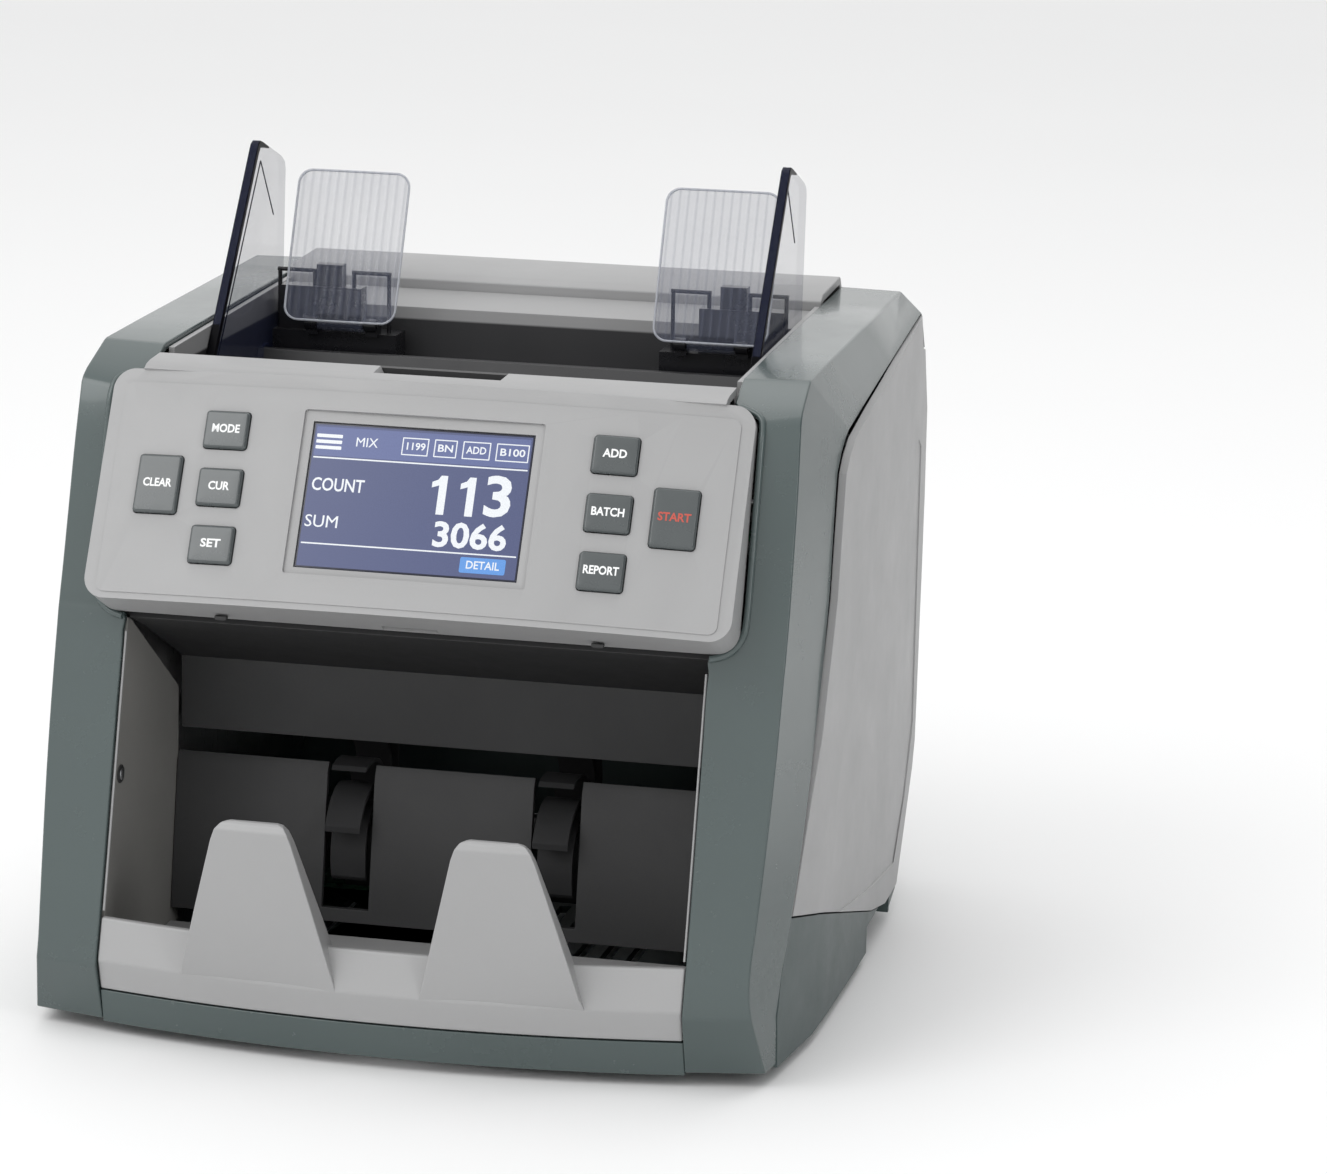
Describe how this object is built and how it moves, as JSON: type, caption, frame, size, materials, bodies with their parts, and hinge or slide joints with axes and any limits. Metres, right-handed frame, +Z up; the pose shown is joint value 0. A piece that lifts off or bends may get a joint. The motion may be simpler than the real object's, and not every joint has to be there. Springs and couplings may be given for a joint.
{
  "type": "banknote counter",
  "caption": "Desktop banknote counter: sloping top hopper with sliding guides, keypad and display panel, belt-driven note path, stacker wheels and a front stacking pocket.",
  "frame": {"origin": "middle of the bounding box at the bottom of the feet", "axes": "+X to the right seen from the front, +Y to the rear, +Z up"},
  "size_m": [0.2536, 0.2764, 0.2684],
  "materials": {
    "slate_cover": "satin slate grey moulding",
    "light_cover": "fine-grained light grey moulding",
    "tray": "fine-grained light grey moulding",
    "dark_moulding": "matte dark grey moulding",
    "black_plastic": "matte black",
    "key": "satin slate grey",
    "screen": "glossy dark display window",
    "steel": "plain sheet and turned steel",
    "zinc": "zinc plated",
    "rubber": "matte",
    "amber_rubber": "matte",
    "circuit_board": "solder masked board",
    "smoke_acrylic": "clear smoky tint",
    "clear_acrylic": "clear, finely ribbed",
    "white_plastic": "natural acetal"
  },
  "bodies": {
    "chassis": {"base_pan": "slate_cover", "front_bar": "slate_cover", "frame_left": "slate_cover", "frame_right": "slate_cover", "side_cover_left": "light_cover", "side_cover_right": "light_cover", "top_cover": "light_cover", "hopper_floor": "dark_moulding", "hopper_rear_wall": "light_cover", "control_panel": "light_cover", "lcd_window": "screen", "lcd_module": "black_plastic", "key_board": "circuit_board", "chassis_left": "steel", "chassis_right": "steel", "tie_rods": "steel", "pocket_back": "dark_moulding", "pocket_wall_left": "dark_moulding", "pocket_wall_right": "dark_moulding", "pocket_roof": "dark_moulding", "stacker_tray": "tray", "sensor_bars": "black_plastic", "outer_path_guide": "dark_moulding", "retard_roller": "amber_rubber", "main_motor": "zinc", "stacker_motor": "zinc", "drive_belt": "rubber", "pickup_belt": "rubber", "stacker_belt": "rubber", "main_board": "circuit_board", "power_supply": "circuit_board", "power_inlet": "black_plastic", "rear_panel": "slate_cover", "feet": "rubber"},
    "feed_roller": {"feed_shaft": "steel", "feed_tyres": "rubber"},
    "pickup_roller": {"pickup_shaft": "steel", "pickup_tyres": "rubber"},
    "exit_roller": {"exit_roller": "rubber"},
    "stacker": {"stacker_shaft": "steel", "stacker_wheels": "rubber"},
    "main_pulley": {"main_pulley": "zinc"},
    "stacker_pulley": {"stacker_pulley": "zinc"},
    "guide_carriage_left": {"guide_left": "smoke_acrylic", "plate_holder_left": "black_plastic"},
    "guide_carriage_right": {"guide_right": "smoke_acrylic", "plate_holder_right": "black_plastic"},
    "guide_pinion": {"guide_pinion": "white_plastic"},
    "note_plate_left": {"note_plate_left": "clear_acrylic"},
    "note_plate_right": {"note_plate_right": "clear_acrylic"},
    "rear_cover": {"rear_cover": "light_cover"},
    "power_rocker": {"power_rocker": "black_plastic"},
    "key_mode": {"key_mode": "key"},
    "key_cur": {"key_cur": "key"},
    "key_set": {"key_set": "key"},
    "key_clear": {"key_clear": "key"},
    "key_add": {"key_add": "key"},
    "key_batch": {"key_batch": "key"},
    "key_report": {"key_report": "key"},
    "key_start": {"key_start": "key"}
  },
  "joints": [
    {"name": "feed_spin", "type": "hinge", "parent": "chassis", "child": "feed_roller", "pos_m": [0, 0.01504, 0.12945], "axis": [-1, 0, 0], "continuous": true},
    {"name": "pickup_spin", "type": "hinge", "parent": "chassis", "child": "pickup_roller", "pos_m": [0, -0.02, 0.16333], "axis": [-1, 0, 0], "continuous": true},
    {"name": "main_motor_spin", "type": "hinge", "parent": "chassis", "child": "main_pulley", "pos_m": [0.104, 0.06725, 0.082], "axis": [-1, 0, 0], "continuous": true},
    {"name": "exit_spin", "type": "hinge", "parent": "chassis", "child": "exit_roller", "pos_m": [0, -0.0112, 0.08295], "axis": [1, 0, 0], "continuous": true},
    {"name": "stacker_spin", "type": "hinge", "parent": "chassis", "child": "stacker", "pos_m": [0, -0.02475, 0.055], "axis": [1, 0, 0], "continuous": true},
    {"name": "stacker_motor_spin", "type": "hinge", "parent": "chassis", "child": "stacker_pulley", "pos_m": [-0.104, 0.00725, 0.034], "axis": [1, 0, 0], "continuous": true},
    {"name": "guide_left_slide", "type": "slide", "parent": "chassis", "child": "guide_carriage_left", "axis": [1, 0, 0], "range_m": [0, 0.028]},
    {"name": "guide_right_slide", "type": "slide", "parent": "chassis", "child": "guide_carriage_right", "axis": [-1, 0, 0], "range_m": [0, 0.028]},
    {"name": "guide_pinion_spin", "type": "hinge", "parent": "chassis", "child": "guide_pinion", "pos_m": [0, 0.00188, 0.15642], "axis": [0, 0.5592, 0.829], "continuous": true},
    {"name": "note_plate_left_fold", "type": "hinge", "parent": "guide_carriage_left", "child": "note_plate_left", "pos_m": [-0.0645, 0.04305, 0.2054], "axis": [1, 0, 0], "range_deg": [0, 60]},
    {"name": "note_plate_right_fold", "type": "hinge", "parent": "guide_carriage_right", "child": "note_plate_right", "pos_m": [0.0645, 0.04305, 0.2054], "axis": [1, 0, 0], "range_deg": [0, 60]},
    {"name": "rear_cover_hinge", "type": "hinge", "parent": "chassis", "child": "rear_cover", "pos_m": [0, 0.13475, 0.101], "axis": [-1, 0, 0], "range_deg": [0, 80]},
    {"name": "power_rocker_tilt", "type": "hinge", "parent": "chassis", "child": "power_rocker", "pos_m": [0.089, 0.12925, 0.076], "axis": [1, 0, 0], "range_deg": [0, 14]},
    {"name": "key_mode_press", "type": "slide", "parent": "chassis", "child": "key_mode", "axis": [0.0456, 0.8869, -0.4597], "range_m": [0, 0.0012], "stiffness_N_per_m": 600, "springref_m": -0.0004},
    {"name": "key_cur_press", "type": "slide", "parent": "chassis", "child": "key_cur", "axis": [0.0453, 0.8869, -0.4597], "range_m": [0, 0.0012], "stiffness_N_per_m": 600, "springref_m": -0.0004},
    {"name": "key_set_press", "type": "slide", "parent": "chassis", "child": "key_set", "axis": [0.0452, 0.8869, -0.4597], "range_m": [0, 0.0012], "stiffness_N_per_m": 600, "springref_m": -0.0004},
    {"name": "key_clear_press", "type": "slide", "parent": "chassis", "child": "key_clear", "axis": [0.06, 0.8862, -0.4594], "range_m": [0, 0.0012], "stiffness_N_per_m": 600, "springref_m": -0.0004},
    {"name": "key_add_press", "type": "slide", "parent": "chassis", "child": "key_add", "axis": [-0.0444, 0.8869, -0.4597], "range_m": [0, 0.0012], "stiffness_N_per_m": 600, "springref_m": -0.0004},
    {"name": "key_batch_press", "type": "slide", "parent": "chassis", "child": "key_batch", "axis": [-0.0444, 0.8869, -0.4597], "range_m": [0, 0.0012], "stiffness_N_per_m": 600, "springref_m": -0.0004},
    {"name": "key_report_press", "type": "slide", "parent": "chassis", "child": "key_report", "axis": [-0.0445, 0.8869, -0.4597], "range_m": [0, 0.0012], "stiffness_N_per_m": 600, "springref_m": -0.0004},
    {"name": "key_start_press", "type": "slide", "parent": "chassis", "child": "key_start", "axis": [-0.0593, 0.8863, -0.4594], "range_m": [0, 0.0012], "stiffness_N_per_m": 600, "springref_m": -0.0004}
  ],
  "couplings": [
    {"joint": "pickup_spin", "follows": "feed_spin", "ratio": 1.5714},
    {"joint": "main_motor_spin", "follows": "feed_spin", "ratio": 1.75},
    {"joint": "stacker_motor_spin", "follows": "stacker_spin", "ratio": 2.4},
    {"joint": "guide_right_slide", "follows": "guide_left_slide", "ratio": 1},
    {"joint": "guide_pinion_spin", "follows": "guide_left_slide", "rad_per_m": -210.53}
  ]
}
